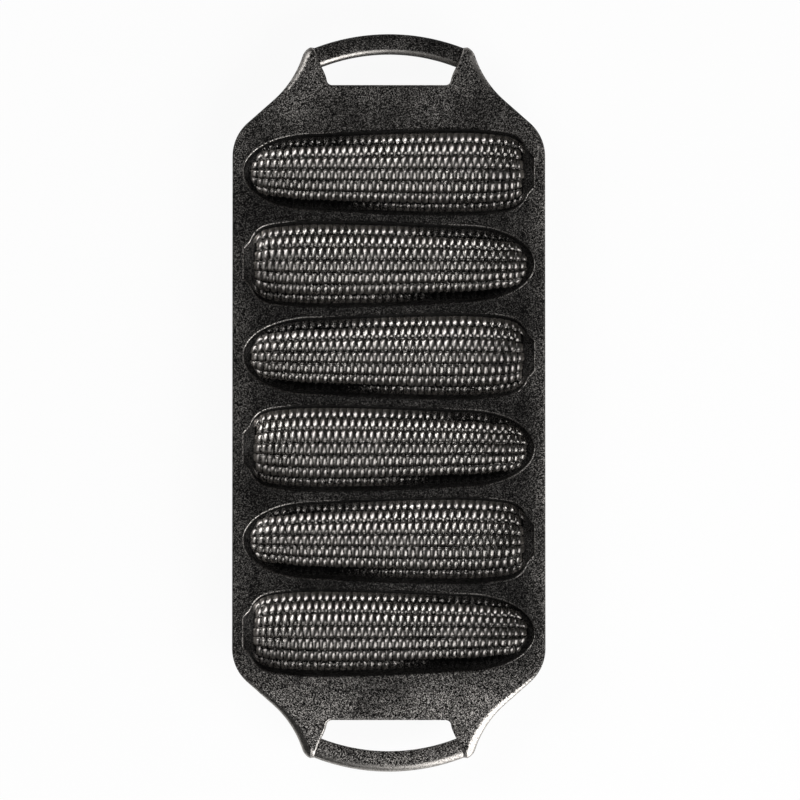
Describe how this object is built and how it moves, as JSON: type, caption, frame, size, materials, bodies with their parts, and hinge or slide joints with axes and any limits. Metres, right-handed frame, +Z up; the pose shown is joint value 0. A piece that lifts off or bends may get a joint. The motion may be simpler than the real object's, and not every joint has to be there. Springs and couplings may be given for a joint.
{
  "type": "corn stick pan",
  "caption": "Flat cast iron baking pan with corn-ear-shaped cups laid head to tail across it and a looped handle at either end, for moulding corn sticks.",
  "frame": {"origin": "middle of the pan, on the surface that its cups stand on", "axes": "+X along the ear of corn in each cup, +Y along the pan from handle to handle, towards the far handle, +Z up out of the cups"},
  "size_m": [0.153, 0.361, 0.0235],
  "materials": {
    "seasoned_iron": "satin",
    "kernel_iron": "satin"
  },
  "bodies": {
    "root": {"deck": "seasoned_iron", "far_shoulder": "seasoned_iron", "near_shoulder": "seasoned_iron", "far_handle_bar": "seasoned_iron", "near_handle_bar": "seasoned_iron", "ear_cup_1": "kernel_iron", "ear_cup_2": "kernel_iron", "ear_cup_3": "kernel_iron", "ear_cup_4": "kernel_iron", "ear_cup_5": "kernel_iron", "ear_cup_6": "kernel_iron"}
  },
  "joints": []
}
